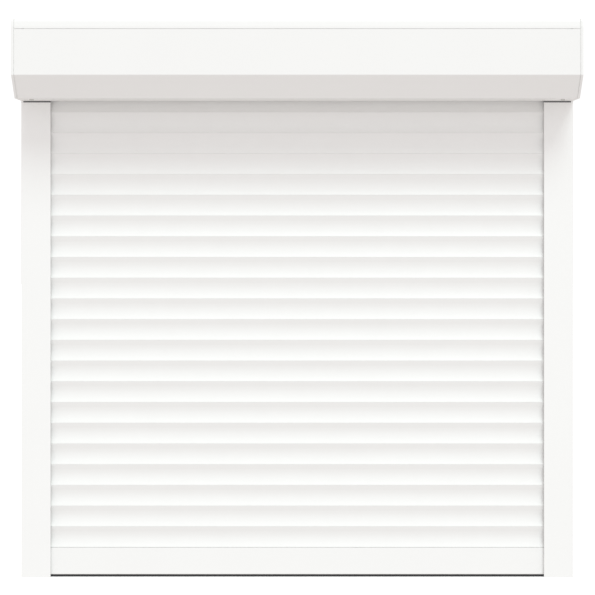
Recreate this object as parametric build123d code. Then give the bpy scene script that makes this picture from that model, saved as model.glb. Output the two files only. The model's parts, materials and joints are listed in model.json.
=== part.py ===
from build123d import *
import math
import os

# Exterior roller shutter, closed, in millimetres.
# X runs to the right, Y to the back, where the wall is, and Z up.
# The back plane is y = 0. The middle of the width is x = 0. Half way up the rails is z = 0.

# Overall size
overall_width = 1000.0
overall_height = 1000.0

# Box
box_depth = 137.0
box_height = 137.0
chamfer_leg = 38.5
top_lean = 8.0
top_lean_drop = 13.0
top_lean_radius = 20.0
top_edge_radius = 5.5
chamfer_top_radius = 2.5
chamfer_foot_radius = 3.5
shell_wall = 1.2
seam_drop = 16.6
seam_gap = 0.6
hem_depth = 7.5
hem_gap = 0.3
rear_return = 4.2
cover_lip_height = 9.0

# End caps
cap_rim = 5.0
cap_proud = 0.8
cap_edge_radius = 0.6
cap_groove_width = 0.6
cap_groove_depth = 1.7
cap_ring_depth = 12.0
cap_ring_wall = 2.2
cap_ring_gap = 0.2
spigot_width = 18.0
spigot_length = 48.0
spigot_foot_height = 9.0
boss_size = 12.0

# Screws and rivets
cover_screw_inset = 26.5
cover_screw_forward = 52.0
cover_screw_radius = 2.0
cover_screw_head_radius = 4.0
cover_screw_head_height = 2.2
cover_screw_length = 12.0
rivet_radius = 1.6
rivet_head_radius = 3.25
rivet_head_height = 1.0
rivet_tail = 1.5
rivet_places_share = (0.25, 0.75)
bracket_screw_radius = 2.0
bracket_screw_head_radius = 3.5
bracket_screw_head_height = 2.2
bracket_screw_bite = 3.5
screw_play = 0.1

# Guide rails
rail_width = 53.0
rail_depth = 22.0
rail_wall = 1.4
channel_depth = 26.0
rail_cover_wall = 1.2
rail_fit = 0.3
rail_edge_radius = 0.9
return_lip = 1.4
clip_rib_height = 8.0
clip_rib_wall = 1.2
ledge_width = 7.0
ledge_wall = 1.2
rail_screw_radius = 2.75
rail_screw_end_distance = 120.0
seal_width = 5.0
seal_inset = 0.5
seal_thickness = 2.5
seal_play = 0.6
foot_plug_height = 12.0

# Inlet funnels on the rail tops
collar_height = 2.7
collar_inset = 0.4
collar_short = 4.0
funnel_wall = 1.2
funnel_play = 1.2
funnel_straight = 10.0
funnel_height = 28.0
funnel_front_flare = 8.0
funnel_rear_flare = 3.2

# Slats
slat_pitch = 37.6
slat_depth = 8.0
slat_engagement = 19.0
slat_wall = 1.0
slat_rib = 0.8
slat_flat_length = 9.5
slat_flat_lean = 15.0
slat_ridge_radius = 0.25
slat_belly = 0.6
junction_gap = 0.1
hook_lip = 1.2
hook_slip = 2.0
hook_play = 0.3
hook_reach = 1.2
tongue_wall = 1.0
tongue_forward = 0.5
light_slot_length = 20.0
light_slot_height = 2.0
light_slot_rise = 0.8
light_slot_pitch = 45.0
light_slot_end = 35.0
lock_plate = 1.5
lock_plug_length = 12.0
lock_play = 0.15

# Bottom bar
bar_height = 53.5
bar_joint_gap = 0.5
bar_wall = 1.2
bar_edge_radius = 0.6
bar_foot_radius = 1.5
bar_seal_drop = 4.2
seal_neck_width = 3.0
seal_head_width = 5.4
seal_head_height = 2.0
seal_lip_width = 6.8
seal_tip_width = 4.4
seal_tip_height = 1.4
seal_fit = 0.1
bar_plug_plate = 2.0
bar_plug_length = 15.0

# Barrel, drive and free end
barrel_sides = 8
barrel_across_flats = 40.0
barrel_wall = 0.8
barrel_short = 30.0
barrel_fit = 0.1
bracket_size = 60.0
bracket_wall = 3.0
bracket_corner_radius = 4.0
bracket_screw_spacing = 46.0
motor_radius = 17.5
motor_length = 400.0
motor_head_radius = 23.0
motor_head_length = 16.0
motor_head_edge = 1.5
motor_key_size = 12.0
crown_length = 15.0
crown_flange = 3.0
running_gap = 0.05
drive_wheel_length = 20.0
drive_wheel_gap = 3.0
output_shaft_radius = 5.0
output_shaft_depth = 15.0
output_shaft_end_gap = 3.0
holder_ring_wall = 4.0
holder_ring_length = 10.0
bush_radius = 14.0
idler_pin_radius = 6.0
idler_pin_gap = 1.0
idler_pin_bevel = 1.0
idler_pin_depth = 45.0
capsule_length = 60.0
barrel_screw_radius = 1.75
barrel_screw_head_radius = 3.3
barrel_screw_head_height = 1.6
barrel_screw_bite = 7.0

# Cable entry in the right end cap
grommet_radius = 6.0
grommet_bore = 3.5
grommet_flange = 1.5
grommet_flange_radius = 8.0
grommet_from_back = 24.0
grommet_from_top = 24.0

# Hangers between the barrel and the top slat
hanger_places_share = (-0.32, 0.0, 0.32)
band_width = 20.0
band_thickness = 0.8
band_lift = 0.1
band_slot_width = 4.0
band_slot_play = 1.0
band_tuck = 1.0
hanger_hook_wall = 0.9
hanger_hook_length = 24.0
hanger_gap = 0.3

# Cuts run this far past the faces that they open
overrun = 5.0

# Places that follow from the sizes
half_width = overall_width / 2
shell_half = half_width - cap_rim
ring_half = shell_half - cap_ring_depth
rail_inner = half_width - rail_width
underside_height = overall_height - box_height
underside = underside_height / 2
rail_foot = -underside
box_top = underside + box_height
shell_front = -box_depth + cap_proud
shell_top = box_top - cap_proud
seam = shell_top - seam_drop
rail_top = underside - collar_height

channel_front = -rail_depth + rail_cover_wall + rail_fit + rail_wall
curtain_front = channel_front + seal_thickness + seal_play
curtain_y = curtain_front + slat_depth / 2
curtain_back = curtain_front + slat_depth
ledge_face = curtain_back + seal_play + seal_thickness
base_width = rail_width - rail_cover_wall - rail_fit
chamber_middle = (channel_depth + rail_wall + base_width - clip_rib_wall) / 2
funnel_front = curtain_front - funnel_play
funnel_back = curtain_back + funnel_play
cover_rear = funnel_front - funnel_wall - rail_fit
spigot_front = cover_rear + rail_fit
spigot_back = -rear_return - rail_fit

slat_length = overall_width - 2 * rail_width + 2 * slat_engagement
slat_half = slat_length / 2
slat_body = slat_pitch - junction_gap
slat_count = math.ceil((underside_height - bar_height) / slat_pitch)
light_slot_count = 1 + int((slat_length - 2 * light_slot_end) // light_slot_pitch)
first_slat = rail_foot + bar_height
top_slat = first_slat + (slat_count - 1) * slat_pitch
tongue_front = -tongue_forward
tongue_rear = tongue_front + tongue_wall
bead_rise = hook_lip + hook_slip + hook_play
tongue_rise = bead_rise + hook_lip
bead_rear = tongue_rear + hook_reach
slot_front = tongue_front - hook_play
slot_rear = tongue_rear + hook_play
slot_deep = bead_rear + hook_play
slot_roof = tongue_rise + hook_play

bar_foot = rail_foot + bar_seal_drop
bar_body = bar_height - bar_seal_drop - bar_joint_gap

barrel_y = -box_depth / 2
barrel_z = underside + box_height / 2
barrel_half = shell_half - barrel_short
barrel_bore = barrel_across_flats - 2 * barrel_wall
barrel_top = barrel_z + barrel_across_flats / 2
corner_radius = barrel_across_flats / 2 / math.cos(math.pi / barrel_sides)
bracket_face = shell_half - bracket_wall
motor_right = bracket_face - motor_head_length
motor_left = motor_right - motor_length
drive_wheel_right = motor_left - drive_wheel_gap
drive_wheel_left = drive_wheel_right - drive_wheel_length


# Shared drawing helpers


def side_prism(view, x_from, x_to):
    """Carries a side view, drawn as (y, z), from x_from to x_to."""
    return extrude(Plane.YZ.offset(x_from) * view, amount=x_to - x_from, dir=(1, 0, 0))


def plan_prism(view, z_from, z_to):
    """Carries a plan view, drawn as (x, y), from z_from up to z_to."""
    return extrude(Plane.XY.offset(z_from) * view, amount=z_to - z_from, dir=(0, 0, 1))


def rect(across_from, across_to, up_from, up_to):
    """A rectangle of a view between two coordinates each way."""
    middle = Pos((across_from + across_to) / 2, (up_from + up_to) / 2)
    return middle * Rectangle(across_to - across_from, up_to - up_from)


def disc(across, up, radius):
    """A circle of a view round a point."""
    return Pos(across, up) * Circle(radius)


def outline(*points):
    """A closed straight-sided shape of a view."""
    return make_face(Polyline(*points, close=True))


def rounded(view, corner, radius):
    """The view with the corner that lies nearest to a point rounded off."""
    return fillet(view.vertices().sort_by_distance((*corner, 0))[0], radius)


def both_sides(right_solid):
    """A solid of the right side and its mirror image on the left."""
    return [mirror(right_solid, about=Plane.YZ), right_solid]


def write(name, *shapes):
    """Writes one sub-part to its own file, with each piece as a separate solid."""
    solids = [solid for shape in shapes for solid in shape.solids()]
    part = solids[0] if len(solids) == 1 else Compound(children=solids)
    part.label = name
    export_step(part, f"parts/{name}.step")


# Box: the rear shell, the inspection cover and the end caps


def box_view(step=0.0, inset=0.0):
    """The box seen from its end, with a front that leans back a little above the seam.

    Step draws only the front, the chamfer and the top further in, and inset draws the whole outline further in.
    """
    front = -box_depth + step
    top = box_top - step
    lean = math.radians(top_lean)
    lean_foot = box_top - top_lean_drop - step * math.tan(lean / 2)
    lean_head = front + (top - lean_foot) * math.tan(lean)
    chamfer_height = underside + chamfer_leg + step * (math.sqrt(2) - 1)
    chamfer_foot = -box_depth + chamfer_leg + step * math.sqrt(2)
    view = outline(
        (0, underside),
        (chamfer_foot, underside),
        (front, chamfer_height),
        (front, lean_foot),
        (lean_head, top),
        (0, top),
    )
    view = rounded(view, (lean_head, top), top_edge_radius - step)
    view = rounded(view, (front, lean_foot), top_lean_radius - step)
    view = rounded(view, (front, chamfer_height), chamfer_top_radius)
    view = rounded(view, (chamfer_foot, underside), chamfer_foot_radius)
    return offset(view, amount=-inset) if inset else view


def rivets():
    """Blind rivets through the top of the rear shell into the right end cap's ring."""
    x = shell_half - cap_ring_depth / 2
    tail_depth = shell_wall + cap_ring_gap + cap_ring_wall + rivet_tail
    made = []
    for share in rivet_places_share:
        y = -box_depth * share
        head = plan_prism(disc(x, y, rivet_head_radius), shell_top, shell_top + rivet_head_height)
        rim = head.edges().group_by(Axis.Z)[-1]
        head = fillet(rim, rivet_head_height / 2)
        made.append(head + plan_prism(disc(x, y, rivet_radius), shell_top - tail_depth, shell_top))
    return made


def rivet_holes():
    """The holes for the right end cap's rivets."""
    x = shell_half - cap_ring_depth / 2
    depth = shell_wall + cap_ring_gap + cap_ring_wall + overrun
    holes = Sketch()
    for share in rivet_places_share:
        holes += disc(x, -box_depth * share, rivet_radius + screw_play)
    return plan_prism(holes, shell_top - depth, shell_top + overrun)


def rear_shell():
    """Roll-formed back and top, with a short skirt down to the seam."""
    skin = box_view(cap_proud) - box_view(cap_proud, shell_wall)
    below_seam = rect(-box_depth - overrun, -rear_return, underside - overrun, seam + seam_gap / 2)
    shell = side_prism(skin - below_seam, -shell_half, shell_half)
    for holes in both_sides(rivet_holes()):
        shell -= holes
    return shell


def inspection_cover():
    """Roll-formed front, chamfer and underside, with a folded hem behind the rear shell's skirt."""
    skin = box_view(cap_proud) - box_view(cap_proud, shell_wall)
    taken = rect(-box_depth - overrun, cover_rear, underside - overrun, seam - seam_gap / 2)
    cover = side_prism(skin & taken, -shell_half, shell_half)
    lip = rect(cover_rear - shell_wall, cover_rear, underside, underside + cover_lip_height)
    hem_front = shell_front + shell_wall + hem_gap
    hem_foot = seam - hem_depth
    hem_top = box_top - top_lean_drop
    fold = rect(shell_front, hem_front, hem_foot, hem_foot + shell_wall)
    hem = rect(hem_front, hem_front + shell_wall, hem_foot, hem_top)
    inside = ring_half - overrun
    cover += side_prism(lip, -inside, inside)
    cover += side_prism(fold + hem, -inside, inside)
    for hole in both_sides(cover_screw_hole()):
        cover -= hole
    return cover


def cover_screw_place():
    """Where the right cover screw stands in the underside."""
    return half_width - cover_screw_inset, -rail_depth - cover_screw_forward


def cover_screw_hole():
    """The hole for the right cover screw, through the underside and into the boss."""
    x, y = cover_screw_place()
    hole = disc(x, y, cover_screw_radius + screw_play)
    return plan_prism(hole, underside - overrun, underside + cover_screw_length + screw_play)


def cover_screw():
    """Pan-head screw, driven up from below."""
    x, y = cover_screw_place()
    head = disc(x, y, cover_screw_head_radius)
    head = plan_prism(head, underside - cover_screw_head_height, underside)
    head = fillet(head.edges().group_by(Axis.Z)[0], cover_screw_head_height / 2)
    recess_arm = cover_screw_head_radius
    recess_wide = cover_screw_head_radius / 4
    cross = Pos(x, y) * (Rectangle(recess_arm, recess_wide) + Rectangle(recess_wide, recess_arm))
    recess_top = underside - cover_screw_head_height / 2
    head -= plan_prism(cross, underside - cover_screw_head_height - overrun, recess_top)
    shank = disc(x, y, cover_screw_radius)
    return head + plan_prism(shank, underside, underside + cover_screw_length)


def bracket_screw_views(radius):
    """Four circles at the corners of the bracket or the bearing holder."""
    middle = Pos(barrel_y, barrel_z)
    corners = GridLocations(bracket_screw_spacing, bracket_screw_spacing, 2, 2)
    views = Sketch()
    for corner in corners:
        views += middle * corner * Circle(radius)
    return views


def bracket_screws():
    """Pan-head screws that hold the right bracket to its end cap."""
    heads = side_prism(
        bracket_screw_views(bracket_screw_head_radius),
        bracket_face - bracket_screw_head_height,
        bracket_face,
    )
    heads = fillet(heads.edges().group_by(Axis.X)[0], bracket_screw_head_height / 2)
    shanks = side_prism(
        bracket_screw_views(bracket_screw_radius), bracket_face, shell_half + bracket_screw_bite
    )
    return heads + shanks


def bracket_screw_holes():
    """The holes for the right bracket's screws."""
    return side_prism(
        bracket_screw_views(bracket_screw_radius + screw_play),
        bracket_face - overrun,
        shell_half + bracket_screw_bite + screw_play,
    )


def spigot_view(play=0.0):
    """The spigot in plan, inside the right rail's screw chamber."""
    middle = rail_inner + chamber_middle
    half = spigot_width / 2 + play
    return rect(middle - half, middle + half, spigot_front - play, spigot_back + play)


def end_cap():
    """Cast end plate of the right side, with its joint groove, locating ring, rail spigot and screw boss."""
    groove_end = shell_half + cap_groove_width
    cap = side_prism(box_view(), groove_end, half_width)
    cap = fillet(cap.edges().group_by(Axis.X)[-1], cap_edge_radius)
    cap += side_prism(box_view(cap_groove_depth), shell_half, groove_end)
    ring_outside = shell_wall + cap_ring_gap
    ring = box_view(cap_proud, ring_outside) - box_view(cap_proud, ring_outside + cap_ring_wall)
    cap += side_prism(ring, ring_half, shell_half)
    foot = rect(half_width - collar_short, half_width, -rail_depth, 0)
    cap += plan_prism(foot, rail_top, underside)
    cap += plan_prism(spigot_view(), underside - spigot_length, underside + spigot_foot_height)
    spigot_inner = rail_inner + chamber_middle - spigot_width / 2
    arm = rect(spigot_inner, shell_half, spigot_front, spigot_back)
    cap += plan_prism(arm, underside, underside + spigot_foot_height)
    x, y = cover_screw_place()
    boss = rect(x - boss_size / 2, shell_half, y - boss_size / 2, y + boss_size / 2)
    boss_foot = underside + shell_wall + cap_ring_gap
    cap += plan_prism(boss, boss_foot, boss_foot + boss_size)
    return cap - cover_screw_hole() - rivet_holes() - bracket_screw_holes()


def grommet_place():
    """Where the cable enters the right end cap, in the side view."""
    return -grommet_from_back, box_top - grommet_from_top


def cable_grommet():
    """Rubber grommet with a flange inside the end cap."""
    y, z = grommet_place()
    bore = disc(y, z, grommet_bore)
    body = disc(y, z, grommet_radius - running_gap) - bore
    flange = disc(y, z, grommet_flange_radius) - bore
    return side_prism(body, shell_half, half_width) + side_prism(
        flange, shell_half - grommet_flange, shell_half
    )


# Guide rails, their clip-on covers, seals, foot plugs and inlet funnels, all of the right side


def guide_rail():
    """Extruded base: the guide channel inside and the screw chamber outside."""
    x = rail_inner
    web_outer = channel_depth + rail_wall
    view = rect(x, x + base_width, -rail_wall, 0)
    view += rect(x + channel_depth, x + web_outer, channel_front - rail_wall, 0)
    lip_end = rail_cover_wall + rail_fit
    view += rect(x + lip_end, x + web_outer, channel_front - rail_wall, channel_front)
    view += rect(x, x + ledge_width, ledge_face, ledge_face + ledge_wall)
    view += rect(x, x + ledge_wall, ledge_face, 0)
    view += rect(x + base_width - clip_rib_wall, x + base_width, -clip_rib_height, 0)
    rail = plan_prism(view, rail_foot, rail_top)
    row = underside - rail_screw_end_distance
    for z in (-row, 0, row):
        hole = Pos(x + chamber_middle, 0, z) * Rot(X=90)
        rail -= hole * Cylinder(rail_screw_radius, 2 * rail_wall + overrun)
    return rail


def rail_cover():
    """Clip-on front of the rail, with a barb that snaps over the base's rib."""
    x = rail_inner
    front = -rail_depth
    inside = front + rail_cover_wall
    view = rect(x, x + rail_width, front, inside)
    view += rect(x + rail_width - rail_cover_wall, x + rail_width, front, 0)
    view += rect(x, x + rail_cover_wall, front, inside + return_lip)
    barb_foot = -clip_rib_height - rail_fit
    barb_tip = x + base_width - clip_rib_wall + rail_fit
    view += rect(barb_tip, x + rail_width, barb_foot - clip_rib_wall, barb_foot)
    view = rounded(view, (x, front), rail_edge_radius)
    view = rounded(view, (x + rail_width, front), rail_edge_radius)
    return plan_prism(view, rail_foot, rail_top)


def rail_seals():
    """Soft strips in front of and behind the slats."""
    x = rail_inner + rail_cover_wall + rail_fit + seal_inset
    front = rect(x, x + seal_width, channel_front, channel_front + seal_thickness)
    back = rect(x, x + seal_width, ledge_face - seal_thickness, ledge_face)
    return plan_prism(front + back, rail_foot, rail_top)


def rail_foot_plug():
    """Plug in the lower end of the screw chamber."""
    view = rect(
        rail_inner + channel_depth + rail_wall + rail_fit,
        rail_inner + base_width - clip_rib_wall - rail_fit,
        -rail_depth + rail_cover_wall + rail_fit,
        -rail_wall - rail_fit,
    )
    return plan_prism(view, rail_foot, rail_foot + foot_plug_height)


def hopper_view(wall):
    """The funnel seen from its end: a straight throat that flares inside the box."""
    bend = underside + funnel_straight
    mouth = underside + funnel_height
    front = funnel_front - wall
    back = funnel_back + wall
    return outline(
        (front, rail_top),
        (front, bend),
        (front - funnel_front_flare, mouth),
        (back + funnel_rear_flare, mouth),
        (back, bend),
        (back, rail_top),
    )


def inlet_funnel():
    """Plastic collar between the rail's top and the box, with a funnel for the slats' ends."""
    x = rail_inner
    throat = x + channel_depth
    plate = rect(x, half_width - collar_short, -rail_depth + collar_inset, -collar_inset)
    plate -= rect(x - overrun, throat, funnel_front, funnel_back)
    plate -= spigot_view(rail_fit)
    hopper = side_prism(hopper_view(funnel_wall), x, throat + funnel_wall)
    hopper -= side_prism(hopper_view(0), x - overrun, throat)
    return plan_prism(plate, rail_top, underside) + hopper


# Slats


def slat_outline():
    """The slat seen from its end, without its hook: the outer face is hollow, flat in its upper third."""
    half = slat_depth / 2
    lean = math.radians(slat_flat_lean)
    top = (-half, slat_body)
    flat_end = (
        -half + slat_flat_length * math.sin(lean),
        slat_body - slat_flat_length * math.cos(lean),
    )
    foot = (-half, 0)
    back_foot = (half - slat_belly, 0)
    back_top = (half - slat_belly, slat_body)
    view = make_face(
        [
            Line(top, flat_end),
            TangentArc(flat_end, foot, tangent=(math.sin(lean), -math.cos(lean))),
            Line(foot, back_foot),
            ThreePointArc(back_foot, (half, slat_body / 2), back_top),
            Line(back_top, top),
        ]
    )
    view = rounded(view, top, slat_ridge_radius)
    return rounded(view, foot, slat_ridge_radius)


def slat_chambers():
    """The two hollow chambers, below and above the middle rib."""
    hollow = offset(slat_outline(), amount=-slat_wall)
    roof = slot_roof + slat_wall
    rib = slat_body / 2
    lower = hollow & rect(-slat_depth, slat_depth, roof, rib - slat_rib / 2)
    upper = hollow & rect(-slat_depth, slat_depth, rib + slat_rib / 2, slat_body)
    return lower, upper


def hook_tongue(body_height, gap):
    """The tongue with its bead, on a body that is body_height tall, with a gap up to the next slat's foot."""
    top = body_height + gap + tongue_rise
    bead = body_height + gap + bead_rise
    return outline(
        (tongue_front, body_height - slat_wall),
        (tongue_front, top),
        (bead_rear, top),
        (bead_rear, bead),
        (tongue_rear, bead),
        (tongue_rear, body_height - slat_wall),
    )


def hook_slot():
    """The slot in the lower edge that holds the tongue of the slat below."""
    return outline(
        (slot_front, -overrun),
        (slot_front, slot_roof),
        (slot_deep, slot_roof),
        (slot_deep, hook_lip),
        (slot_rear, hook_lip),
        (slot_rear, -overrun),
    )


def light_slots(body_height):
    """The punched slots in a tongue, as solids to cut."""
    foot = body_height + light_slot_rise
    view = rect(-slat_depth, slat_depth, foot, foot + light_slot_height)
    first = -(light_slot_count - 1) * light_slot_pitch / 2
    cuts = Part()
    for number in range(light_slot_count):
        middle = first + number * light_slot_pitch
        cuts += side_prism(view, middle - light_slot_length / 2, middle + light_slot_length / 2)
    return cuts


def make_slat():
    """One slat at the place of the lowest, from end to end."""
    lower, upper = slat_chambers()
    view = slat_outline() + hook_tongue(slat_body, junction_gap) - hook_slot() - lower - upper
    slat = side_prism(view, -slat_half, slat_half) - light_slots(slat_body)
    return Pos(0, curtain_y, first_slat) * slat


def make_end_locks():
    """Plastic locks in both ends of every other slat, which keep it from wandering sideways."""
    chamber = slat_chambers()[1]
    face = offset(slat_outline(), amount=-lock_play)
    face &= rect(-slat_depth, slat_depth, slot_roof + slat_wall, slat_body)
    plug = offset(chamber, amount=-lock_play)
    lock = side_prism(plug, slat_half - lock_plug_length, slat_half)
    lock += side_prism(face, slat_half, slat_half + lock_plate)
    return both_sides(Pos(0, curtain_y, first_slat) * lock)


# Bottom bar


def bar_chamber(play=0.0):
    """The hollow of the bottom bar above its seal groove."""
    half = slat_depth / 2 - bar_wall - play
    foot = 2 * bar_wall + seal_head_height + 2 * seal_fit + play
    return rect(-half, half, foot, bar_body - bar_wall - play)


def bottom_bar():
    """Flat-faced hollow end profile with the same tongue as the slats."""
    half = slat_depth / 2
    view = rect(-half, half, 0, bar_body)
    for side in (-half, half):
        view = rounded(view, (side, 0), bar_foot_radius)
        view = rounded(view, (side, bar_body), bar_edge_radius)
    neck = seal_neck_width / 2 + seal_fit
    head = seal_head_width / 2 + seal_fit
    view += hook_tongue(bar_body, bar_joint_gap)
    view -= bar_chamber()
    view -= rect(-neck, neck, -overrun, bar_wall)
    view -= rect(-head, head, bar_wall, bar_wall + seal_head_height + 2 * seal_fit)
    bar = side_prism(view, -slat_half, slat_half) - light_slots(bar_body)
    return Pos(0, curtain_y, bar_foot) * bar


def bottom_bar_seal():
    """Rubber strip with a T head in the bar's groove and a soft lip on the sill."""
    neck = seal_neck_width / 2
    head = seal_head_width / 2
    lip = seal_lip_width / 2
    tip = seal_tip_width / 2
    head_foot = bar_wall + seal_fit
    view = outline(
        (-lip, 0),
        (-lip, -bar_seal_drop + seal_tip_height),
        (-tip, -bar_seal_drop),
        (tip, -bar_seal_drop),
        (lip, -bar_seal_drop + seal_tip_height),
        (lip, 0),
    )
    view += rect(-neck, neck, -seal_fit, head_foot + seal_fit)
    view += rect(-head, head, head_foot, head_foot + seal_head_height)
    return Pos(0, curtain_y, bar_foot) * side_prism(view, -slat_half, slat_half)


def bottom_bar_end_plug():
    """Plastic plug in the right end of the bottom bar."""
    half = slat_depth / 2 - lock_play
    face = rect(-half, half, lock_play, bar_body - lock_play)
    plug = side_prism(face, slat_half, slat_half + bar_plug_plate)
    plug += side_prism(bar_chamber(lock_play), slat_half - bar_plug_length, slat_half)
    return Pos(0, curtain_y, bar_foot) * plug


# Barrel, drive and free end


def octagon(across_flats):
    """An octagon round the barrel's axis, with a flat on top."""
    shape = RegularPolygon(across_flats / 2, barrel_sides, major_radius=False)
    return Pos(barrel_y, barrel_z) * Rot(Z=math.degrees(math.pi / barrel_sides)) * shape


def axis_disc(radius):
    """A circle round the barrel's axis."""
    return disc(barrel_y, barrel_z, radius)


def barrel_screw_places():
    """The middle of the drive wheel and of the idler capsule, along the barrel."""
    wheel = (drive_wheel_left + drive_wheel_right) / 2
    capsule = -barrel_half + capsule_length / 2
    return wheel, capsule


def barrel_screw_holes():
    """The holes for the screws in the barrel's top flat."""
    holes = Sketch()
    for x in barrel_screw_places():
        holes += disc(x, barrel_y, barrel_screw_radius + screw_play)
    return plan_prism(holes, barrel_top - barrel_screw_bite - screw_play, barrel_top + overrun)


def barrel_screws():
    """Pan-head screws that fix the barrel to the drive wheel and to the capsule."""
    made = []
    for x in barrel_screw_places():
        head = disc(x, barrel_y, barrel_screw_head_radius)
        head = plan_prism(head, barrel_top, barrel_top + barrel_screw_head_height)
        head = fillet(head.edges().group_by(Axis.Z)[-1], barrel_screw_head_height / 2)
        shank = disc(x, barrel_y, barrel_screw_radius)
        made.append(head + plan_prism(shank, barrel_top - barrel_screw_bite, barrel_top))
    return made


def octagonal_barrel():
    """The winding tube, punched for the hanger bands."""
    barrel = side_prism(octagon(barrel_across_flats) - octagon(barrel_bore), -barrel_half, barrel_half)
    length = band_width + 2 * band_slot_play
    for share in hanger_places_share:
        x = share * overall_width
        slot = rect(
            x - length / 2, x + length / 2, barrel_y - band_slot_width / 2, barrel_y + band_slot_width / 2
        )
        barrel -= plan_prism(slot, barrel_top - 2 * barrel_wall, barrel_top + overrun)
    return barrel - barrel_screw_holes()


def motor_bracket():
    """Steel plate on the right end cap, with a square hole that holds the drive's key."""
    plate = Pos(barrel_y, barrel_z) * RectangleRounded(bracket_size, bracket_size, bracket_corner_radius)
    key_hole = motor_key_size + 2 * screw_play
    plate -= Pos(barrel_y, barrel_z) * Rectangle(key_hole, key_hole)
    return side_prism(plate, bracket_face, shell_half) - bracket_screw_holes()


def motor_head():
    """The drive's fixed head, with its square key in the bracket."""
    head = side_prism(axis_disc(motor_head_radius), motor_right, bracket_face)
    head = fillet(head.edges().group_by(Axis.X)[0], motor_head_edge)
    key = Pos(barrel_y, barrel_z) * Rectangle(motor_key_size, motor_key_size)
    return head + side_prism(key, bracket_face, shell_half - screw_play)


def motor_tube():
    """The drive's fixed steel tube, with the bearing of its output shaft in the left end."""
    tube = side_prism(axis_disc(motor_radius), motor_left, motor_right)
    bearing = axis_disc(output_shaft_radius + running_gap)
    return tube - side_prism(bearing, motor_left - overrun, motor_left + output_shaft_depth)


def motor_output_shaft():
    """Carries the drive wheel and turns with the barrel."""
    end = motor_left + output_shaft_depth - output_shaft_end_gap
    return side_prism(axis_disc(output_shaft_radius), drive_wheel_left, end)


def motor_drive_wheel():
    """Octagonal wheel that turns the barrel from inside."""
    view = octagon(barrel_bore - 2 * barrel_fit) - axis_disc(output_shaft_radius + running_gap)
    return side_prism(view, drive_wheel_left, drive_wheel_right) - barrel_screw_holes()


def motor_crown_ring():
    """Octagonal ring that carries the barrel's right end round the fixed tube."""
    bore = axis_disc(motor_radius + running_gap)
    inside = octagon(barrel_bore - 2 * barrel_fit) - bore
    flange = axis_disc(corner_radius) - bore
    ring = side_prism(inside, barrel_half - crown_length, barrel_half)
    return ring + side_prism(flange, barrel_half, barrel_half + crown_flange)


def bearing_holder():
    """Plate and cup on the left end cap for the barrel's free end, drawn on the right."""
    plate = Pos(barrel_y, barrel_z) * RectangleRounded(bracket_size, bracket_size, bracket_corner_radius)
    cup = axis_disc(bush_radius + running_gap + holder_ring_wall) - axis_disc(bush_radius + running_gap)
    holder = side_prism(plate, bracket_face, shell_half) - bracket_screw_holes()
    holder += side_prism(cup, bracket_face - holder_ring_length, bracket_face)
    return mirror(holder, about=Plane.YZ)


def idler_bush():
    """Nylon bush in the holder's cup."""
    view = axis_disc(bush_radius) - axis_disc(idler_pin_radius + running_gap)
    return side_prism(view, -bracket_face, -bracket_face + holder_ring_length)


def idler_pin():
    """Steel pin of the barrel's free end."""
    start = -bracket_face + idler_pin_gap
    pin = side_prism(axis_disc(idler_pin_radius), start, -barrel_half + idler_pin_depth)
    return chamfer(pin.edges().group_by(Axis.X)[0], idler_pin_bevel)


def idler_capsule():
    """Octagonal plastic plug in the barrel's left end."""
    bore = axis_disc(idler_pin_radius + running_gap)
    inside = octagon(barrel_bore - 2 * barrel_fit) - bore
    flange = axis_disc(corner_radius) - bore
    capsule = side_prism(inside, -barrel_half, -barrel_half + capsule_length)
    capsule += side_prism(flange, -barrel_half - crown_flange, -barrel_half)
    return capsule - barrel_screw_holes()


# Hangers


def hanger_hook(x):
    """Steel clamp that slides over the tongue of the top slat."""
    foot = junction_gap
    outside = rect(
        slot_front - hanger_hook_wall,
        slot_deep + hanger_hook_wall,
        foot,
        slot_roof + junction_gap + hanger_hook_wall,
    )
    hollow = Pos(0, junction_gap) * hook_slot()
    view = Pos(curtain_y, top_slat + slat_body) * (outside - hollow)
    return side_prism(view, x - hanger_hook_length / 2, x + hanger_hook_length / 2)


def hanger_band(x):
    """Spring steel band from the barrel's slot over its back edge and down to the hook."""
    lift = band_lift + band_thickness / 2
    apothem = barrel_across_flats / 2 + lift
    step = 2 * math.pi / barrel_sides
    reach = apothem / math.cos(step / 2)
    top_corner = (
        barrel_y + reach * math.sin(step / 2),
        barrel_z + reach * math.cos(step / 2),
    )
    back_corner = (
        barrel_y + reach * math.sin(step * 3 / 2),
        barrel_z + reach * math.cos(step * 3 / 2),
    )
    hook_top = top_slat + slat_body + slot_roof + junction_gap + hanger_hook_wall
    line = Polyline(
        (barrel_y, barrel_top - band_tuck),
        (barrel_y, barrel_top + lift),
        top_corner,
        back_corner,
        (curtain_y, hook_top + hanger_gap + band_thickness / 2),
    )
    view = make_face(offset(line, amount=band_thickness / 2))
    return side_prism(view, x - band_width / 2, x + band_width / 2)


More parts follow.
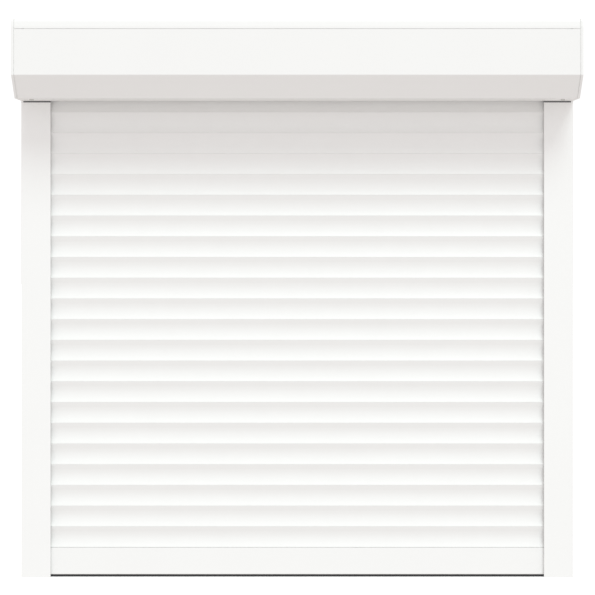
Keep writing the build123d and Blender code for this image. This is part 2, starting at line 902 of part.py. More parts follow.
def main():
    os.makedirs("parts", exist_ok=True)

    write("box_rear_shell", rear_shell())
    write("inspection_cover", inspection_cover())
    cap = end_cap()
    cable_hole = disc(*grommet_place(), grommet_radius)
    write("end_cap_left", mirror(cap, about=Plane.YZ))
    write("end_cap_right", cap - side_prism(cable_hole, ring_half, half_width + overrun))
    write("cable_grommet", cable_grommet())
    write("cover_screws", *both_sides(cover_screw()))
    write("shell_rivets", *[side for rivet in rivets() for side in both_sides(rivet)])
    write("bracket_screws", *both_sides(bracket_screws()))

    for name, right in (
        ("guide_rail", guide_rail()),
        ("rail_cover", rail_cover()),
        ("rail_seals", rail_seals()),
        ("rail_foot_plug", rail_foot_plug()),
        ("inlet_funnel", inlet_funnel()),
    ):
        write(f"{name}_left", mirror(right, about=Plane.YZ))
        write(f"{name}_right", right)

    slat = make_slat()
    locks = make_end_locks()
    for number in range(slat_count):
        lift = Pos(0, 0, number * slat_pitch)
        pieces = [slat, *locks] if number % 2 else [slat]
        write(f"slat_{number + 1:02d}", *[lift * piece for piece in pieces])

    write("bottom_bar", bottom_bar())
    write("bottom_bar_seal", bottom_bar_seal())
    write("bottom_bar_end_plugs", *both_sides(bottom_bar_end_plug()))

    write("octagonal_barrel", octagonal_barrel())
    write("motor_bracket", motor_bracket())
    write("motor_head", motor_head())
    write("motor_tube", motor_tube())
    write("motor_output_shaft", motor_output_shaft())
    write("motor_drive_wheel", motor_drive_wheel())
    write("motor_crown_ring", motor_crown_ring())
    write("bearing_holder", bearing_holder())
    write("idler_bush", idler_bush())
    write("idler_pin", idler_pin())
    write("idler_capsule", idler_capsule())
    write("barrel_screws", *barrel_screws())

    hanger_xs = [share * overall_width for share in hanger_places_share]
    write("hanger_hooks", *[hanger_hook(x) for x in hanger_xs])
    write("hanger_bands", *[hanger_band(x) for x in hanger_xs])


main()
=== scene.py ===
# %% [markdown]
# # A white exterior roller shutter
#
# A roller shutter hangs in front of a window. A sheet metal box at the top holds a barrel, a curtain of
# hooked slats runs down between two guide rails, and a flat bottom bar with a rubber seal closes it on
# the sill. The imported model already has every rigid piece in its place, so this lesson does what is left:
# it sets up the camera and a white studio, gives each piece the finish that it has in real life, and
# models the soft and springy pieces that a plain solid can't show. Lengths in Blender are metres, so a
# small size is written in millimetres and multiplied by MM.

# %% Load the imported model
import json
import math

import bmesh
import bpy
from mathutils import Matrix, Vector


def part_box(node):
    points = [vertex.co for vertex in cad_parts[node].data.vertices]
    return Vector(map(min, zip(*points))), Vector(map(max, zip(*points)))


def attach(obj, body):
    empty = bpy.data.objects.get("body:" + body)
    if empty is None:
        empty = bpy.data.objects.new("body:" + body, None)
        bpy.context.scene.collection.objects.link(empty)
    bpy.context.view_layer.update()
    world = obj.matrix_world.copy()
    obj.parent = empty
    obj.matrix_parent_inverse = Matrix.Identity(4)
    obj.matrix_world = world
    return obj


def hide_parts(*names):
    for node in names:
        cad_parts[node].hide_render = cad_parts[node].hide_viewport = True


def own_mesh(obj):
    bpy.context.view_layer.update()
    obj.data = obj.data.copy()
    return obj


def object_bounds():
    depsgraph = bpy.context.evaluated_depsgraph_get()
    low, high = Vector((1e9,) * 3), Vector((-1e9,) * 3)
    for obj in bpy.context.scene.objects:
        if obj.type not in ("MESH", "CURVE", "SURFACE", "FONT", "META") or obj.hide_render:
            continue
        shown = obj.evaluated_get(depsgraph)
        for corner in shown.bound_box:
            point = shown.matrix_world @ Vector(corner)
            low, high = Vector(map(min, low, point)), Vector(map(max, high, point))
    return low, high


MM = 0.001
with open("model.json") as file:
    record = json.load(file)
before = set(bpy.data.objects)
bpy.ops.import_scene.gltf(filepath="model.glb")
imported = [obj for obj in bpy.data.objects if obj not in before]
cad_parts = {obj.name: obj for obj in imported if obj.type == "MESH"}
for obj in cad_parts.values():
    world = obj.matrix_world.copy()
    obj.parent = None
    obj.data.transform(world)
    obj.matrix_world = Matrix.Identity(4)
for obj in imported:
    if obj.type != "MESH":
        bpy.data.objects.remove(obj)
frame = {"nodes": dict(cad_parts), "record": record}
nodes = frame["nodes"]
cad_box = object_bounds()
print(len(nodes), "nodes, from", tuple(cad_box[0]), "to", tuple(cad_box[1]))

# %% [markdown]
# ## The camera
#
# The photograph looks straight at the shutter, yet the box's end caps show that the lens isn't far away.
# One way to set such a view is to turn the camera up or down, but then the upright rails would lean
# together. An architectural photographer shifts the lens instead, and so does this camera: it looks along
# +Y with no tilt, and shift_y slides the picture. HORIZON_ROW is the row of the photograph that is level
# with the lens. The lens is below the box, so the box's underside shows, and well above the sill.

# %% Camera
PHOTO_PIXELS = 595
HORIZON_ROW = 205.3
MIDDLE_COLUMN = 297.25
FOCAL_PIXELS = 1775.0
CAMERA_BACK = 3.237
CAMERA_HEIGHT = 0.2425
SENSOR_MM = 36.0
FAR_CLIP = 50.0

camera_data = bpy.data.cameras.new("camera")
camera_data.sensor_width = SENSOR_MM
camera_data.lens = SENSOR_MM * FOCAL_PIXELS / PHOTO_PIXELS
camera_data.shift_y = (HORIZON_ROW - PHOTO_PIXELS / 2) / PHOTO_PIXELS
camera_data.shift_x = (PHOTO_PIXELS / 2 - MIDDLE_COLUMN) / PHOTO_PIXELS
camera_data.clip_end = FAR_CLIP
camera = bpy.data.objects.new("camera", camera_data)
camera.location = (0.0, -CAMERA_BACK, CAMERA_HEIGHT)
camera.rotation_euler = (math.radians(90), 0.0, 0.0)
scene = bpy.context.scene
scene.collection.objects.link(camera)
scene.camera = camera
print("lens", round(camera_data.lens, 1), "mm, shift", round(camera_data.shift_y, 4))

# %% [markdown]
# ## A white studio
#
# White on white is the hardest thing to light: the background has to be brighter than the object, or the
# object looks grey, and the object still needs shade, or it vanishes. Here the sky that lights the object
# is a little darker than the white that the camera sees behind it, and a touch warm. Two large soft suns,
# like a strong softbox high up on the right and a weaker one above the lens, are a touch cool. Where they
# reach, the white is neutral, and where the box keeps them off, the curtain and the underside stay
# warmer, as they do in the photograph. The one on the right also lights the right rail round the box's
# end, while the left rail's top stays in the box's shadow. A weak light from straight ahead lifts the
# shadow under the box, and one from behind keeps the rear readable in the other views.

# %% Sky
WHITE = (1.0, 1.0, 1.0, 1.0)
SKY_LIGHT = 0.72
SKY_SEEN = 1.05
SKY_TINT = (1.054, 0.998, 0.978, 1.0)

scene.view_settings.view_transform = "Standard"
world = bpy.data.worlds.new("studio")
world.use_nodes = True
scene.world = world
sky = world.node_tree
sky.nodes.clear()
light_sky = sky.nodes.new("ShaderNodeBackground")
light_sky.inputs["Color"].default_value = SKY_TINT
light_sky.inputs["Strength"].default_value = SKY_LIGHT
seen_sky = sky.nodes.new("ShaderNodeBackground")
seen_sky.inputs["Color"].default_value = WHITE
seen_sky.inputs["Strength"].default_value = SKY_SEEN
path = sky.nodes.new("ShaderNodeLightPath")
mix = sky.nodes.new("ShaderNodeMixShader")
output = sky.nodes.new("ShaderNodeOutputWorld")
sky.links.new(path.outputs["Is Camera Ray"], mix.inputs["Fac"])
sky.links.new(light_sky.outputs["Background"], mix.inputs[1])
sky.links.new(seen_sky.outputs["Background"], mix.inputs[2])
sky.links.new(mix.outputs["Shader"], output.inputs["Surface"])
print("sky lights with", SKY_LIGHT, "and is seen as", SKY_SEEN)

# %% Suns: where each shines from, its strength, its spread in degrees and its colour
KEY_SPREAD = 24.0
KEY_COLOUR = (0.870, 0.994, 1.0)
SUNS = {
    "right_key": ((0.467, -1.0, 1.43), 0.85, KEY_SPREAD, KEY_COLOUR),
    "middle_key": ((0.0, -1.0, 1.43), 0.389, KEY_SPREAD, KEY_COLOUR),
    "front_fill": ((0.0, -1.0, 0.12), 0.347, 60.0, (0.787, 0.890, 1.0)),
    "rear_fill": ((0.5, 1.0, 0.8), 0.55, 15.0, (1.0, 1.0, 1.0)),
}


def soft_sun(name, towards, strength, spread, colour):
    """A sun that shines from a direction, with its disc as many degrees wide as spread says."""
    data = bpy.data.lights.new(name, "SUN")
    data.energy = strength
    data.angle = math.radians(spread)
    data.color = colour
    sun = bpy.data.objects.new(name, data)
    sun.rotation_euler = Vector(towards).to_track_quat("Z", "Y").to_euler()
    scene.collection.objects.link(sun)


for name, values in SUNS.items():
    soft_sun(name, *values)
print(len(SUNS), "soft suns:", ", ".join(SUNS))

# %% [markdown]
# ## Floor
#
# The shutter hangs on a wall in use. Here it stands on a plain pale floor that only the camera sees, so
# that the floor throws no light of its own up at the box's underside. A little glow lifts it to the white
# of the background and leaves only a faint shadow where the rails touch it.

# %% Floor
FLOOR_HALF = 12.0
FLOOR_GAP = 0.4 * MM
FLOOR_WHITE = (0.9, 0.9, 0.9, 1.0)
FLOOR_ROUGHNESS = 0.9
FLOOR_GLOW = 0.45


def flat_square(name, half, height):
    """A level square that is twice half wide, round the origin."""
    shape = bmesh.new()
    bmesh.ops.create_grid(shape, x_segments=1, y_segments=1, size=half)
    bmesh.ops.translate(shape, verts=shape.verts, vec=(0.0, 0.0, height))
    mesh = bpy.data.meshes.new(name)
    shape.to_mesh(mesh)
    shape.free()
    square = bpy.data.objects.new(name, mesh)
    scene.collection.objects.link(square)
    return square


floor = flat_square("floor", FLOOR_HALF, cad_box[0].z - FLOOR_GAP)
floor_finish = bpy.data.materials.new("floor_white")
floor_finish.use_nodes = True
floor_shader = floor_finish.node_tree.nodes["Principled BSDF"]
floor_shader.inputs["Base Color"].default_value = FLOOR_WHITE
floor_shader.inputs["Roughness"].default_value = FLOOR_ROUGHNESS
floor_shader.inputs["Specular IOR Level"].default_value = 0.0
floor_shader.inputs["Emission Color"].default_value = WHITE
floor_shader.inputs["Emission Strength"].default_value = FLOOR_GLOW
floor.data.materials.append(floor_finish)
floor.visible_diffuse = False
floor.visible_glossy = False
floor.visible_shadow = False
print("floor at", round(cad_box[0].z - FLOOR_GAP, 4), "m")

# %% [markdown]
# ## Shared effects
#
# Paint, plastic and steel differ in colour, but they share a few effects: the fine waves of a sprayed
# coat, the lines that a die or a roll leaves along a profile, and the dust that settles on what faces up.
# Each effect is a node group, built once. Its inputs are plain numbers, so each finish can set its own
# scale and amount, and its output is a mask or a height from 0 to 1 that the finish then uses for colour,
# roughness or relief. All of them read Object coordinates, which are metres on the object, so a scale is
# a count in a metre.

# %% A helper that starts a node group


def start_group(name, inputs, outputs):
    """A shader node group with number inputs and outputs, and its two end nodes."""
    group = bpy.data.node_groups.new(name, "ShaderNodeTree")
    for label, start in inputs.items():
        socket = group.interface.new_socket(label, in_out="INPUT", socket_type="NodeSocketFloat")
        socket.default_value = start
    for label in outputs:
        group.interface.new_socket(label, in_out="OUTPUT", socket_type="NodeSocketFloat")
    print("effect", name, "gives", ", ".join(outputs))
    return group, group.nodes.new("NodeGroupInput"), group.nodes.new("NodeGroupOutput")


# %% [markdown]
# ### Spray waves
#
# A powder coat never dries quite flat. It keeps soft waves a millimetre or two wide, which painters call
# orange peel. Smooth noise has just that look, and with a low scale the same noise makes the wide, faint
# clouds that keep a large white sheet from looking like one flat colour.

# %% Spray waves
WAVE_ROUGHNESS = 0.45


def build_spray_waves():
    """Soft irregular waves. Scale is how many there are in a metre."""
    group, start, end = start_group("spray_waves", {"Scale": 600.0, "Detail": 2.0}, ["Height"])
    place = group.nodes.new("ShaderNodeTexCoord")
    noise = group.nodes.new("ShaderNodeTexNoise")
    noise.inputs["Roughness"].default_value = WAVE_ROUGHNESS
    group.links.new(place.outputs["Object"], noise.inputs["Vector"])
    group.links.new(start.outputs["Scale"], noise.inputs["Scale"])
    group.links.new(start.outputs["Detail"], noise.inputs["Detail"])
    group.links.new(noise.outputs["Fac"], end.inputs["Height"])
    return group


spray_waves = build_spray_waves()

# %% [markdown]
# ### Drawn lines
#
# An extrusion die and a set of rolls leave fine lines that run along the profile. Noise turns into lines
# when it is squeezed along one axis, so the coordinates are multiplied by a small number along the
# profile and by a large one across it.

# %% Drawn lines
LINE_ROUGHNESS = 0.6


def build_drawn_lines():
    """Streaks along one axis. The stretches say how many there are in a metre along X, Y and Z."""
    inputs = {"Along X": 3.0, "Along Y": 900.0, "Along Z": 900.0, "Detail": 3.0}
    group, start, end = start_group("drawn_lines", inputs, ["Lines"])
    place = group.nodes.new("ShaderNodeTexCoord")
    split = group.nodes.new("ShaderNodeSeparateXYZ")
    join = group.nodes.new("ShaderNodeCombineXYZ")
    group.links.new(place.outputs["Object"], split.inputs["Vector"])
    for axis in "XYZ":
        times = group.nodes.new("ShaderNodeMath")
        times.operation = "MULTIPLY"
        group.links.new(split.outputs[axis], times.inputs[0])
        group.links.new(start.outputs["Along " + axis], times.inputs[1])
        group.links.new(times.outputs["Value"], join.inputs[axis])
    noise = group.nodes.new("ShaderNodeTexNoise")
    noise.inputs["Scale"].default_value = 1.0
    noise.inputs["Roughness"].default_value = LINE_ROUGHNESS
    group.links.new(join.outputs["Vector"], noise.inputs["Vector"])
    group.links.new(start.outputs["Detail"], noise.inputs["Detail"])
    group.links.new(noise.outputs["Fac"], end.inputs["Lines"])
    return group


drawn_lines = build_drawn_lines()

# %% [markdown]
# ### Settled dust
#
# Dust lies on what faces up. The mask reads how far the surface's normal points up, is 0 below a set
# slope, and is broken into soft patches by noise.

# %% Settled dust
DUST_SLOPE = 0.3
DUST_DETAIL = 6.0
DUST_ROUGHNESS = 0.65
DUST_GREY = (0.60, 0.585, 0.55)


def build_settled_dust():
    """A mask that is 0 on upright and hanging faces and grows to Amount on level ones, in soft patches."""
    group, start, end = start_group("settled_dust", {"Amount": 0.2, "Patches": 25.0}, ["Mask"])
    normal = group.nodes.new("ShaderNodeNewGeometry")
    split = group.nodes.new("ShaderNodeSeparateXYZ")
    group.links.new(normal.outputs["Normal"], split.inputs["Vector"])
    facing = group.nodes.new("ShaderNodeMapRange")
    facing.inputs["From Min"].default_value = DUST_SLOPE
    facing.inputs["From Max"].default_value = 1.0
    group.links.new(split.outputs["Z"], facing.inputs["Value"])
    place = group.nodes.new("ShaderNodeTexCoord")
    noise = group.nodes.new("ShaderNodeTexNoise")
    noise.inputs["Detail"].default_value = DUST_DETAIL
    noise.inputs["Roughness"].default_value = DUST_ROUGHNESS
    group.links.new(place.outputs["Object"], noise.inputs["Vector"])
    group.links.new(start.outputs["Patches"], noise.inputs["Scale"])
    patchy = group.nodes.new("ShaderNodeMath")
    patchy.operation = "MULTIPLY"
    group.links.new(facing.outputs["Result"], patchy.inputs[0])
    group.links.new(noise.outputs["Fac"], patchy.inputs[1])
    amount = group.nodes.new("ShaderNodeMath")
    amount.operation = "MULTIPLY"
    amount.use_clamp = True
    group.links.new(patchy.outputs["Value"], amount.inputs[0])
    group.links.new(start.outputs["Amount"], amount.inputs[1])
    group.links.new(amount.outputs["Value"], end.inputs["Mask"])
    return group


settled_dust = build_settled_dust()

# %% [markdown]
# ### Spangle
#
# Steel that is dipped in molten zinc comes out with flat crystals, a few millimetres wide, each with its
# own grey. A Voronoi texture cuts the surface into such cells and gives each one a value.

# %% Spangle


def build_spangle():
    """Cells with a grey value each, as zinc freezes on steel. Scale is how many there are in a metre."""
    group, start, end = start_group("spangle", {"Scale": 180.0}, ["Grey"])
    place = group.nodes.new("ShaderNodeTexCoord")
    cells = group.nodes.new("ShaderNodeTexVoronoi")
    grey = group.nodes.new("ShaderNodeSeparateColor")
    group.links.new(place.outputs["Object"], cells.inputs["Vector"])
    group.links.new(start.outputs["Scale"], cells.inputs["Scale"])
    group.links.new(cells.outputs["Color"], grey.inputs["Color"])
    group.links.new(grey.outputs["Red"], end.inputs["Grey"])
    return group


spangle = build_spangle()

# %% [markdown]
# ## Finishes
#
# A finish starts from one Principled shader. The effect groups then drive three things: the base colour
# moves between two close colours, the roughness moves in a small range, and a bump node turns a height
# into relief. The relief's depth is a real length, a few hundredths of a millimetre for a sprayed coat,
# so that it looks right from any distance. Each finish has the name of its slot in the record, so that
# the dressing step at the end can find it.

# %% Helpers that join an effect to a shader
finishes = {}


def start_finish(name, metallic=0.0):
    """A new material with only its Principled shader and output."""
    finish = bpy.data.materials.new(name)
    finish.use_nodes = True
    shader = finish.node_tree.nodes["Principled BSDF"]
    shader.inputs["Metallic"].default_value = metallic
    finishes[name] = finish
    return finish.node_tree, shader


def use_group(tree, group, **values):
    """Places a shared effect in a finish, with its own values."""
    node = tree.nodes.new("ShaderNodeGroup")
    node.node_tree = group
    for label, value in values.items():
        node.inputs[label.replace("_", " ")].default_value = value
    return node


def drive_colour(tree, mask, low, high, socket):
    """Moves a colour socket from low, where the mask is 0, to high, where it is 1."""
    mixer = tree.nodes.new("ShaderNodeMix")
    mixer.data_type = "RGBA"
    mixer.inputs["A"].default_value = (*low, 1.0)
    mixer.inputs["B"].default_value = (*high, 1.0)
    tree.links.new(mask, mixer.inputs["Factor"])
    tree.links.new(mixer.outputs["Result"], socket)
    return mixer.outputs["Result"]


def add_dust(tree, below, socket, **values):
    """Lays dust over a colour output, as thick as the effect's values say."""
    dust = use_group(tree, settled_dust, **values)
    mixer = tree.nodes.new("ShaderNodeMix")
    mixer.data_type = "RGBA"
    mixer.inputs["B"].default_value = (*DUST_GREY, 1.0)
    tree.links.new(below, mixer.inputs["A"])
    tree.links.new(dust.outputs["Mask"], mixer.inputs["Factor"])
    tree.links.new(mixer.outputs["Result"], socket)


def drive_number(tree, mask, limits, socket):
    """Moves a number socket between two limits with the mask."""
    span = tree.nodes.new("ShaderNodeMapRange")
    span.inputs["To Min"].default_value = limits[0]
    span.inputs["To Max"].default_value = limits[1]
    tree.links.new(mask, span.inputs["Value"])
    tree.links.new(span.outputs["Result"], socket)


def add_relief(tree, height, depth, shader):
    """Turns a height into relief that is as deep as depth says, in metres."""
    bump = tree.nodes.new("ShaderNodeBump")
    bump.inputs["Strength"].default_value = 1.0
    bump.inputs["Distance"].default_value = depth
    tree.links.new(height, bump.inputs["Height"])
    tree.links.new(bump.outputs["Normal"], shader.inputs["Normal"])


print("helpers for colour, dust, numbers and relief")

# %% [markdown]
# ### White powder coat
#
# The box, the rails, the caps and the bottom bar are aluminium with a sprayed and baked white coat. It
# has a satin gloss, a faint orange peel and hardly any colour of its own, with a trace of dust on what
# faces up. The coats differ a little in waves, and the rails and the bar are a touch lighter than the box.

# %% White powder coat
COAT_WHITE = Vector((0.898, 0.898, 0.883))
COAT_CLOUD = 0.983
COAT_DUST = 0.22
CLOUDS_PER_METRE = 9.0
CLOUD_DETAIL = 4.0
COATS = {
    "box_paint": {"lightness": 1.0, "waves": 420.0, "depth": 0.05 * MM, "gloss": (0.36, 0.46)},
    "cap_paint": {"lightness": 1.0, "waves": 480.0, "depth": 0.07 * MM, "gloss": (0.40, 0.52)},
    "rail_paint": {"lightness": 1.018, "waves": 450.0, "depth": 0.04 * MM, "gloss": (0.34, 0.44)},
    "bar_paint": {"lightness": 1.01, "waves": 450.0, "depth": 0.04 * MM, "gloss": (0.34, 0.44)},
}


def powder_coat(name, lightness, waves, depth, gloss):
    """A sprayed white coat. Its clouds are a little darker than the rest."""
    white = COAT_WHITE * lightness
    tree, shader = start_finish(name)
    peel = use_group(tree, spray_waves, Scale=waves)
    clouds = use_group(tree, spray_waves, Scale=CLOUDS_PER_METRE, Detail=CLOUD_DETAIL).outputs["Height"]
    colour = drive_colour(tree, clouds, white * COAT_CLOUD, white, shader.inputs["Base Color"])
    add_dust(tree, colour, shader.inputs["Base Color"], Amount=COAT_DUST)
    drive_number(tree, clouds, gloss, shader.inputs["Roughness"])
    add_relief(tree, peel.outputs["Height"], depth, shader)


for name, values in COATS.items():
    powder_coat(name, **values)
print("coats:", ", ".join(COATS))

# %% [markdown]
# ### White PVC
#
# The slats are extruded. The die leaves very fine lines along X, which show more in the gloss than in the
# colour, so the lines drive roughness and a relief of two hundredths of a millimetre. The slats' hooks
# and ledges catch more dust than smooth sheet does.

# %% White PVC
PVC_WHITE = (0.894, 0.894, 0.879)
PVC_SHADE = (0.874, 0.874, 0.858)
PVC_GLOSS = (0.30, 0.46)
PVC_LINE_DEPTH = 0.02 * MM


def extruded_pvc(name):
    """Soft-gloss white PVC with die lines along X."""
    tree, shader = start_finish(name)
    lines = use_group(tree, drawn_lines, Along_X=1.5, Along_Y=700.0, Along_Z=700.0).outputs["Lines"]
    clouds = use_group(tree, spray_waves, Scale=35.0, Detail=3.0).outputs["Height"]
    colour = drive_colour(tree, clouds, PVC_SHADE, PVC_WHITE, shader.inputs["Base Color"])
    add_dust(tree, colour, shader.inputs["Base Color"], Amount=0.5, Patches=60.0)
    drive_number(tree, lines, PVC_GLOSS, shader.inputs["Roughness"])
    add_relief(tree, lines, PVC_LINE_DEPTH, shader)


extruded_pvc("slat_pvc")
print("slats in", PVC_WHITE)

# %% [markdown]
# ### Moulded plastic, nylon, pile and rubber
#
# Small moulded parts have a spark-eroded grain: fine, even and matt. Rubber has the same grain, darker
# and rougher, with a bloom of dust, and the woven pile in the rails has a coarser one. One function makes
# them all from a table of colours, grain and gloss.

# %% Moulded plastic, nylon, pile and rubber
GRAIN_DETAIL = 5.0
DUST_PATCHES = 80.0
MOULDINGS = {
    "white_plastic": {
        "colour": (0.87, 0.87, 0.85), "shade": (0.82, 0.82, 0.80),
        "grain": 1500.0, "depth": 0.03 * MM, "gloss": (0.42, 0.58), "dust": 0.2,
    },
    # dark_plastic dresses the collars where the rails meet the box: partly their own dark grey, partly
    # painted shade for the gap there
    "dark_plastic": {
        "colour": (0.155, 0.155, 0.160), "shade": (0.110, 0.110, 0.114),
        "grain": 1600.0, "depth": 0.04 * MM, "gloss": (0.45, 0.62), "dust": 0.3,
    },
    "grey_nylon": {
        "colour": (0.44, 0.45, 0.46), "shade": (0.37, 0.38, 0.39),
        "grain": 1400.0, "depth": 0.03 * MM, "gloss": (0.38, 0.55), "dust": 0.2,
    },
    "rail_seal": {
        "colour": (0.50, 0.51, 0.51), "shade": (0.40, 0.41, 0.41),
        "grain": 2600.0, "depth": 0.10 * MM, "gloss": (0.75, 0.90), "dust": 0.2,
    },
    "black_rubber": {
        "colour": (0.028, 0.028, 0.030), "shade": (0.016, 0.016, 0.018),
        "grain": 1800.0, "depth": 0.05 * MM, "gloss": (0.60, 0.78), "dust": 0.25,
    },
}


def moulded(name, colour, shade, grain, depth, gloss, dust):
    """A matt moulding with an even grain."""
    tree, shader = start_finish(name)
    height = use_group(tree, spray_waves, Scale=grain, Detail=GRAIN_DETAIL).outputs["Height"]
    base = drive_colour(tree, height, shade, colour, shader.inputs["Base Color"])
    add_dust(tree, base, shader.inputs["Base Color"], Amount=dust, Patches=DUST_PATCHES)
    drive_number(tree, height, gloss, shader.inputs["Roughness"])
    add_relief(tree, height, depth, shader)


for name, values in MOULDINGS.items():
    moulded(name, **values)
print("mouldings:", ", ".join(MOULDINGS))

# %% [markdown]
# ### Metals
#
# The barrel and brackets are dipped in zinc, whose crystals show as patches of slightly different grey.
# Screws are plated and brushed, rivets are bright aluminium, and the hanger bands are blued spring steel.
# These bare metals share one function: the drawn lines move both the colour and the gloss.

# %% Metals
METAL_LINE_DEPTH = 0.01 * MM
ZINC_DARK = (0.50, 0.52, 0.54)
ZINC_LIGHT = (0.68, 0.70, 0.72)
ZINC_GLOSS = (0.32, 0.52)
DRAWN_METALS = {
    "zinc_screw": {"colour": (0.70, 0.71, 0.72), "shade": (0.55, 0.56, 0.58), "gloss": (0.26, 0.44)},
    "rivet_aluminium": {"colour": (0.82, 0.83, 0.84), "shade": (0.70, 0.71, 0.73), "gloss": (0.22, 0.40)},
    "spring_steel": {"colour": (0.30, 0.33, 0.38), "shade": (0.20, 0.22, 0.27), "gloss": (0.24, 0.42)},
}


def dipped_zinc(name):
    """Galvanised steel with its spangle and a light rolling grain along X."""
    tree, shader = start_finish(name, metallic=1.0)
    crystals = use_group(tree, spangle, Scale=170.0).outputs["Grey"]
    lines = use_group(tree, drawn_lines, Along_X=12.0, Along_Y=1200.0, Along_Z=1200.0)
    drive_colour(tree, crystals, ZINC_DARK, ZINC_LIGHT, shader.inputs["Base Color"])
    drive_number(tree, crystals, ZINC_GLOSS, shader.inputs["Roughness"])
    add_relief(tree, lines.outputs["Lines"], METAL_LINE_DEPTH, shader)


def drawn_metal(name, colour, shade, gloss):
    """Bare or plated metal with fine drawn lines."""
    tree, shader = start_finish(name, metallic=1.0)
    lines = use_group(tree, drawn_lines, Along_X=60.0, Along_Y=2500.0, Along_Z=2500.0).outputs["Lines"]
    drive_colour(tree, lines, shade, colour, shader.inputs["Base Color"])
    drive_number(tree, lines, gloss, shader.inputs["Roughness"])
    add_relief(tree, lines, METAL_LINE_DEPTH, shader)


dipped_zinc("galvanised_steel")
for name, values in DRAWN_METALS.items():
    drawn_metal(name, **values)
print("metals: galvanised_steel,", ", ".join(DRAWN_METALS))

# %% [markdown]
# ### Enamel and lacquer
#
# The drive's steel tube has a dark baked enamel. The two screws under the box are lacquered in a grey
# darker than the cover's, painted shade for their heads and recesses, so each shows as a small dark spot.
# Both are thin coats that keep the waves of the brush or the bath.

# %% Enamel and lacquer
THIN_COATS = {
    "motor_enamel": {
        "colour": (0.17, 0.175, 0.18), "shade": (0.12, 0.125, 0.13),
        "waves": 380.0, "depth": 0.03 * MM, "gloss": (0.28, 0.42),
    },
    # white_screw: its grey is painted shade for the screw heads and their recesses
    "white_screw": {
        "colour": (0.67, 0.67, 0.65), "shade": (0.58, 0.58, 0.56),
        "waves": 900.0, "depth": 0.02 * MM, "gloss": (0.30, 0.45),
    },
}


def thin_coat(name, colour, shade, waves, depth, gloss):
    """Enamel or lacquer on steel."""
    tree, shader = start_finish(name)
    height = use_group(tree, spray_waves, Scale=waves, Detail=3.0).outputs["Height"]
    drive_colour(tree, height, shade, colour, shader.inputs["Base Color"])
    drive_number(tree, height, gloss, shader.inputs["Roughness"])
    add_relief(tree, height, depth, shader)


for name, values in THIN_COATS.items():
    thin_coat(name, **values)
print("thin coats:", ", ".join(THIN_COATS))

# %% [markdown]
# ## Dressing the rigid pieces
#
# Each piece came in with a plain material that has the name of its slot in the record. Swapping it for
# the finish of that name dresses the piece and leaves its mesh as it is.

# %% Dress the nodes
slot_of = {row["node"]: row["material_slot"] for row in frame["record"]["subparts"]}
for name, node in nodes.items():
    node.material_slots[0].material = finishes[slot_of[name]]
print("dressed", len(nodes), "nodes in", len(set(slot_of.values())), "finishes")

# %% [markdown]
# ## Pieces that aren't rigid
#
# Three kinds of piece are soft or springy, so their plain solids step back and meshes stand for them: the
# pile strips that keep the slats from rattling in the rails, the rubber under the bottom bar, and the
# spring steel bands that hang the curtain from the barrel. All three are one small shape drawn out along
# a line. The operators for that are extrude for the straight runs and bevel for the bends.

# %% Helpers for drawn out shapes
SMOOTH_BELOW = 35


def moved_corners(grown, shape, along):
    """Moves the corners that an extrusion has just made, and gives them back."""
    moved = [part for part in grown["geom"] if isinstance(part, bmesh.types.BMVert)]
    bmesh.ops.translate(shape, verts=moved, vec=along)
    return moved


def round_edges(shape, edges, offset, segments):
    """Bevels edges to a round of the given offset."""
    bmesh.ops.bevel(
        shape, geom=edges, offset=offset, segments=segments, profile=0.5, affect="EDGES",
        clamp_overlap=True, material=-1
    )


def finish_piece(shape, name, body, stands_for, slot_name):
    """Turns a bmesh into a piece that rides on a body and stands for a node."""
    bmesh.ops.recalc_face_normals(shape, faces=shape.faces)
    mesh = bpy.data.meshes.new(name)
    shape.to_mesh(mesh)
    shape.free()
    mesh.shade_smooth()
    mesh.set_sharp_from_angle(angle=math.radians(SMOOTH_BELOW))
    mesh.materials.append(finishes[slot_name])
    piece = bpy.data.objects.new(name, mesh)
    scene.collection.objects.link(piece)
    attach(piece, body)
    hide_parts(stands_for)
    print(name, "with", len(mesh.polygons), "faces stands for", stands_for)
    return piece


print("edges under", SMOOTH_BELOW, "degrees are shaded smooth")

# %% [markdown]
# ### Pile strips in the rails
#
# Each rail holds two strips of woven pile, one before and one behind the slats. A strip is 5 mm wide and
# its pile bulges 2.5 mm. Half a disc has just that outline, so a disc is cut along its middle with
# bisect_plane, set against the wall of the channel, and drawn out as long as the rail.

# %% Pile strips in the rails
PILE_RADIUS = 2.5 * MM
PILE_SEGMENTS = 24


def add_pile_strip(shape, middle, wall, bulge, foot, length):
    """A half round strip on a wall of the channel. Bulge is 1 towards +Y and -1 towards -Y."""
    made = bmesh.ops.create_circle(shape, cap_ends=True, segments=PILE_SEGMENTS, radius=PILE_RADIUS)
    disc = {part for vert in made["verts"] for part in (vert, *vert.link_edges, *vert.link_faces)}
    cut = bmesh.ops.bisect_plane(
        shape, geom=list(disc), plane_co=(0, 0, 0), plane_no=(0, -bulge, 0), clear_outer=True
    )
    face = next(part for part in cut["geom"] if isinstance(part, bmesh.types.BMFace))
    bmesh.ops.translate(shape, verts=list(face.verts), vec=(middle, wall, foot))
    grown = bmesh.ops.extrude_face_region(shape, geom=[face])
    moved_corners(grown, shape, (0.0, 0.0, length))


def build_pile_strips(node, name):
    """The front and back strip of one rail, in the room that its node takes."""
    low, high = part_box(node)
    middle = (low.x + high.x) / 2
    shape = bmesh.new()
    for wall, bulge in ((low.y, 1), (high.y, -1)):
        add_pile_strip(shape, middle, wall, bulge, low.z, high.z - low.z)
    finish_piece(shape, name, "root", node, "rail_seal")


for side in ("left", "right"):
    build_pile_strips("rail_seals_" + side, "pile_strips_" + side)

# %% [markdown]
# ### Rubber under the bottom bar
#
# The rubber is an extrusion too: a T head in the bar's groove, a neck, and a lip that gives on the sill.
# Its outline is drawn point by point from the head down one side, mirrored to the other side, and drawn
# out along X. Rubber has no sharp edges, so the long edges get a small bevel.

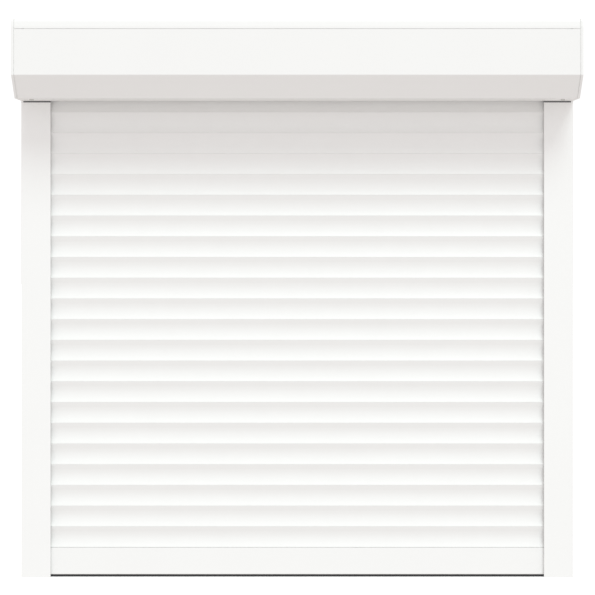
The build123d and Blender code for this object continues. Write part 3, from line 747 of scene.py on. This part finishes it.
# %% Rubber under the bottom bar
RUBBER_SIDE = ((2.7, 7.7), (2.7, 5.7), (1.5, 5.7), (1.5, 3.9), (3.4, 3.9), (3.4, 1.4), (2.2, 0.0))
RUBBER_ROUND = 0.45 * MM
RUBBER_SEGMENTS = 3


def build_bar_rubber():
    """The rubber strip, in the room that its node takes."""
    low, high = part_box("bottom_bar_seal")
    middle = (low.y + high.y) / 2
    stretch = (high.z - low.z) / (RUBBER_SIDE[0][1] * MM)
    right = [(low.x, middle + y * MM, low.z + z * MM * stretch) for y, z in RUBBER_SIDE]
    left = [(low.x, middle - y * MM, low.z + z * MM * stretch) for y, z in reversed(RUBBER_SIDE)]
    shape = bmesh.new()
    face = shape.faces.new([shape.verts.new(point) for point in right + left])
    grown = bmesh.ops.extrude_face_region(shape, geom=[face])
    moved_corners(grown, shape, (high.x - low.x, 0.0, 0.0))
    bmesh.ops.recalc_face_normals(shape, faces=shape.faces)
    long_edges = [e for e in shape.edges if abs(e.verts[0].co.x - e.verts[1].co.x) > RUBBER_ROUND]
    round_edges(shape, long_edges, RUBBER_ROUND, RUBBER_SEGMENTS)
    finish_piece(shape, "bar_rubber", "bottom_bar", "bottom_bar_seal", "black_rubber")


build_bar_rubber()

# %% [markdown]
# ### Hanger bands
#
# Three bands of spring steel, 20 mm wide and 0.8 mm thick, hang the curtain. Each is tucked into a slot
# in the top of the barrel, lies over two of its flats and runs down to the clamp on the top slat. One
# edge, as long as the band is wide, is extruded from corner to corner of that path. A bevel rounds the
# bends and a Solidify modifier gives the sheet its thickness. When the barrel turns, the real band winds
# round it. A stiff mesh can't, so the band is made in two, a root and a blade, and both ride on the
# barrel.

# %% Hanger bands
BAND_WIDTH = 20.0 * MM
BAND_THICKNESS = 0.8 * MM
BAND_EDGE_ROUND = 0.15 * MM
BAND_PLACES = (-320.0 * MM, 0.0, 320.0 * MM)
BEND_SEGMENTS = 8
ROOT_PATH = ((-68.5, 519.0), (-68.5, 520.5), (-60.0, 520.5), (-48.0, 508.5), (-46.9, 506.9))
ROOT_BENDS = (0.9 * MM, 1.0 * MM, 1.5 * MM)
BLADE_PATH = ((-46.9, 506.9), (-27.9, 482.2), (-12.0, 455.8))
BLADE_BENDS = (18.0 * MM,)


def add_band(shape, place, path, bends):
    """One run of band as a bent sheet without thickness. Path gives Y and Z in millimetres."""
    corners = [Vector((place, y * MM, z * MM)) for y, z in path]
    half = Vector((BAND_WIDTH / 2, 0.0, 0.0))
    edge = shape.edges.new([shape.verts.new(corners[0] + half * side) for side in (-1, 1)])
    corner_edges = []
    for here, there in zip(corners, corners[1:]):
        moved = moved_corners(bmesh.ops.extrude_edge_only(shape, edges=[edge]), shape, there - here)
        edge = next(e for e in moved[0].link_edges if e.other_vert(moved[0]) in moved)
        corner_edges.append(edge)
    for bend, offset in zip(corner_edges, bends):
        round_edges(shape, [bend], offset, BEND_SEGMENTS)


def build_bands(name, path, bends):
    """The same run of all three bands, with its thickness and softened edges."""
    shape = bmesh.new()
    for place in BAND_PLACES:
        add_band(shape, place, path, bends)
    bands = finish_piece(shape, name, "barrel", "hanger_bands", "spring_steel")
    wall = bands.modifiers.new("thickness", "SOLIDIFY")
    wall.thickness = BAND_THICKNESS
    wall.offset = 0.0
    soften = bands.modifiers.new("edges", "BEVEL")
    soften.width = BAND_EDGE_ROUND
    soften.segments = 2
    soften.limit_method = "ANGLE"
    return bands


build_bands("band_roots", ROOT_PATH, ROOT_BENDS)
blades = build_bands("band_blades", BLADE_PATH, BLADE_BENDS)
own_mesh(blades)
